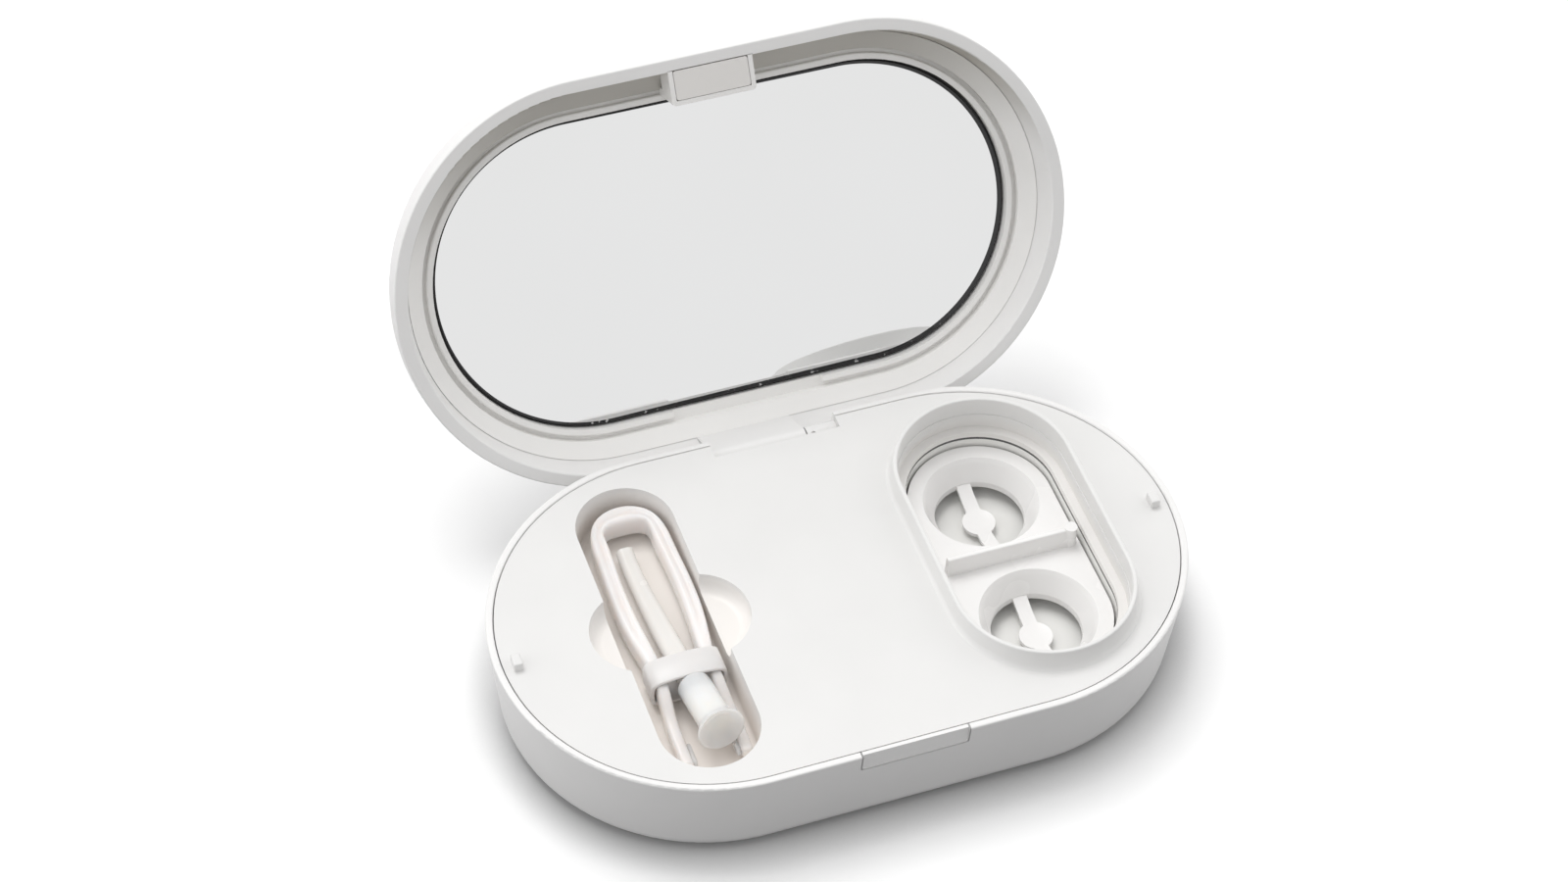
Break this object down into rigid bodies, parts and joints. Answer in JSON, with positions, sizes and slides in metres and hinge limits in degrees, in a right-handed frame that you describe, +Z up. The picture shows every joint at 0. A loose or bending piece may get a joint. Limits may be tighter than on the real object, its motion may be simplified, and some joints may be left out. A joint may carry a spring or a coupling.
{
  "type": "contact lens cleaner device",
  "caption": "Stadium-shaped lens cleaning case with a hinged mirror lid, a collared cleaning bowl with a lift-out lens basket, and a recess with tweezers and a suction stick.",
  "frame": {"origin": "middle of the soft pad's underside, which the case stands on", "axes": "+X along the case to the right, +Y back to the hinge, +Z up"},
  "size_m": [0.142, 0.1352, 0.0885],
  "materials": {
    "white_plastic": "fine satin",
    "deck_plastic": "fine satin",
    "liner_plastic": "fine satin",
    "bush_plastic": "semi gloss",
    "steel": "ground",
    "pad_rubber": "matt",
    "bowl_plastic": "semi gloss",
    "seal_rubber": "matt",
    "screw_steel": "plated",
    "ceramic": "sintered, silvered",
    "red_wire": "satin",
    "board_green": "solder mask",
    "board_parts": "moulded",
    "socket_steel": "stamped",
    "copper_foil": "foil",
    "cell_foil": "foil pouch",
    "foam": "foam",
    "magnet": "nickel plated",
    "basket_plastic": "semi gloss",
    "clear_silicone": "translucent",
    "stick_plastic": "semi gloss",
    "band_silicone": "satin",
    "mirror_silver": "polished",
    "black_adhesive": "matt",
    "cover_plastic": "fine satin"
  },
  "bodies": {
    "base": {"base_shell": "white_plastic", "deck_panel": "deck_plastic", "non_slip_pad": "pad_rubber", "cleaning_bowl": "bowl_plastic", "bowl_gasket": "seal_rubber", "bowl_screws": "screw_steel", "base_screws": "screw_steel", "board_screws": "screw_steel", "ultrasonic_transducer": "ceramic", "transducer_leads": "red_wire", "battery_leads": "red_wire", "circuit_board": "board_green", "board_parts": "board_parts", "charging_socket": "socket_steel", "touch_pad": "copper_foil", "touch_lead": "copper_foil", "battery_cell": "cell_foil", "battery_pad": "foam", "base_magnet": "magnet", "hinge_pin": "steel", "hinge_bush": "bush_plastic"},
    "lid": {"lid_shell": "white_plastic", "lid_liner": "liner_plastic", "mirror": "mirror_silver", "mirror_backing": "black_adhesive", "latch_cover": "cover_plastic", "lid_magnet": "magnet", "hinge_arm": "white_plastic"},
    "basket": {"lens_basket": "basket_plastic"},
    "tool_set": {"tweezers": "clear_silicone", "tweezer_tips": "clear_silicone", "tool_band": "band_silicone", "stick_handle": "stick_plastic", "suction_cup": "clear_silicone"}
  },
  "joints": [
    {"name": "lid_hinge", "type": "hinge", "parent": "base", "child": "lid", "pos_m": [0, 0.0404, 0.0181], "axis": [-1, 0, 0], "range_deg": [-118.9, 0]},
    {"name": "basket_lift", "type": "slide", "parent": "base", "child": "basket", "axis": [0, 0, 1], "range_m": [0, 0.04]},
    {"name": "tools_lift", "type": "slide", "parent": "base", "child": "tool_set", "axis": [0, 0, 1], "range_m": [0, 0.03]}
  ]
}
